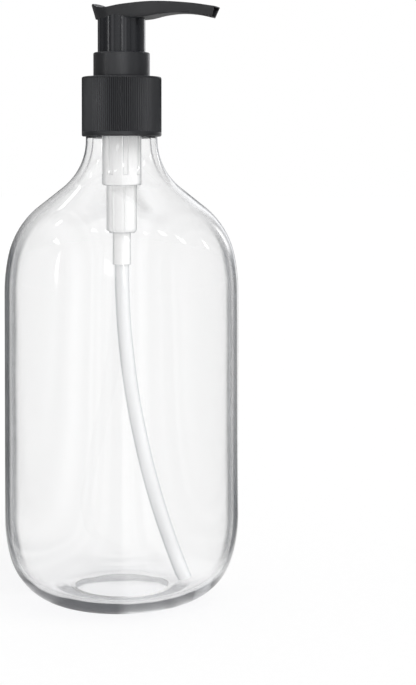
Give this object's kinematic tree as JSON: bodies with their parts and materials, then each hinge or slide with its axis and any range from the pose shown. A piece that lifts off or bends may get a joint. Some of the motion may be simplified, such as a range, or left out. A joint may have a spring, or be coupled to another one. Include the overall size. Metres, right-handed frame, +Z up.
{
  "type": "soap pump dispenser",
  "caption": "Clear round bottle with sloping shoulders and a screw-on lotion pump: press-down head with curved spout, ribbed closure and bent dip tube.",
  "frame": {"origin": "centre of the ring the bottle stands on, on the bottle's axis, at the resting surface", "axes": "+Z up along the bottle's axis; +X along the spout in the rest pose"},
  "size_m": [0.065, 0.065, 0.1665],
  "materials": {
    "clear_bottle": "clear, glossy",
    "dark_satin": "satin, moulded",
    "dark_gloss": "glossy",
    "white_pp": "natural white, semi-gloss",
    "dip_tube_pe": "translucent",
    "natural_pe": "natural, semi-gloss",
    "foam_gasket": "matte",
    "steel": "bright drawn",
    "ball_steel": "polished"
  },
  "bodies": {
    "bottle": {"bottle": "clear_bottle"},
    "pump_body": {"housing": "white_pp", "lock_collar": "dark_satin", "stem_guide": "white_pp", "neck_gasket": "foam_gasket", "ball_cage": "white_pp", "dip_tube": "dip_tube_pe", "spring": "steel"},
    "closure": {"closure": "dark_satin"},
    "piston": {"piston": "natural_pe"},
    "head": {"pump_head": "dark_satin", "upper_stem": "dark_gloss", "lower_stem": "white_pp"},
    "inlet_ball": {"inlet_ball": "ball_steel"},
    "outlet_ball": {"outlet_ball": "ball_steel"}
  },
  "joints": [
    {"name": "pump_lift", "type": "slide", "parent": "bottle", "child": "pump_body", "axis": [0, 0, 1], "range_m": [0, 0.00397]},
    {"name": "closure_turn", "type": "hinge", "parent": "pump_body", "child": "closure", "pos_m": [0, 0, 0.137], "axis": [0, 0, 1], "range_deg": [0, 450]},
    {"name": "head_press", "type": "slide", "parent": "pump_body", "child": "piston", "axis": [0, 0, -1], "range_m": [0, 0.0085], "stiffness_N_per_m": 800, "springref_m": -0.006, "deforming": ["spring"]},
    {"name": "head_turn", "type": "hinge", "parent": "piston", "child": "head", "pos_m": [0, 0, 0.157], "axis": [0, 0, 1], "continuous": true},
    {"name": "inlet_ball_lift", "type": "slide", "parent": "pump_body", "child": "inlet_ball", "axis": [0, 0, 1], "range_m": [0, 0.0015]},
    {"name": "outlet_ball_lift", "type": "slide", "parent": "head", "child": "outlet_ball", "axis": [0, 0, 1], "range_m": [0, 0.001]}
  ],
  "couplings": [
    {"joint": "pump_lift", "follows": "closure_turn", "m_per_rad": 0.00050532}
  ]
}
